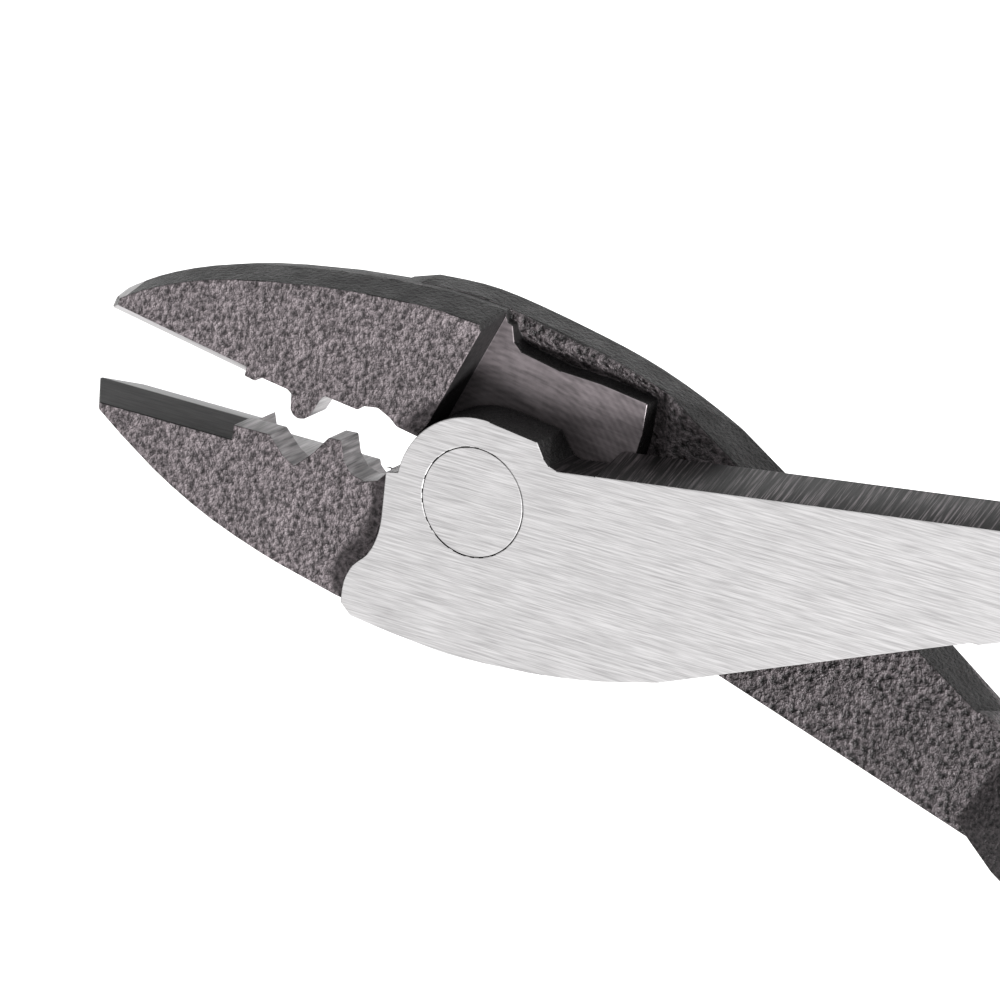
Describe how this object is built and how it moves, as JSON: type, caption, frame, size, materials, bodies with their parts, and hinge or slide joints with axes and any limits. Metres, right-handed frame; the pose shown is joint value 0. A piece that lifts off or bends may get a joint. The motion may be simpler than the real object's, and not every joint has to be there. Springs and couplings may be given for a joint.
{
  "type": "crimping and cutting pliers",
  "caption": "Riveted hand pliers with a wire cutter in the nose, crimping nests behind it, two crossing forged halves and dipped grips.",
  "frame": {"origin": "where the rivet's axis meets the ground back face of the joint, the plane that the pliers lie on", "axes": "+X along the middle of the opening towards the handles, with the jaws at -X; +Z along the rivet, out of the ground face of the front half; +Y towards the front half's handle"},
  "size_m": [0.2471, 0.0922, 0.0127],
  "materials": {
    "forged_steel": "black forged steel, ground bright on the joint's outer face",
    "ground_steel": "ground flush, fine straight grain",
    "grip_vinyl": "dipped soft vinyl, semi-gloss"
  },
  "bodies": {
    "front_body": {"front_half": "forged_steel", "rivet": "ground_steel", "front_grip": "grip_vinyl"},
    "rear_body": {"rear_half": "forged_steel", "rear_grip": "grip_vinyl"}
  },
  "joints": [
    {"name": "rivet_hinge", "type": "hinge", "parent": "front_body", "child": "rear_body", "pos_m": [0, 0, 0.00635], "axis": [0, 0, 1], "range_deg": [-22, 9]}
  ]
}
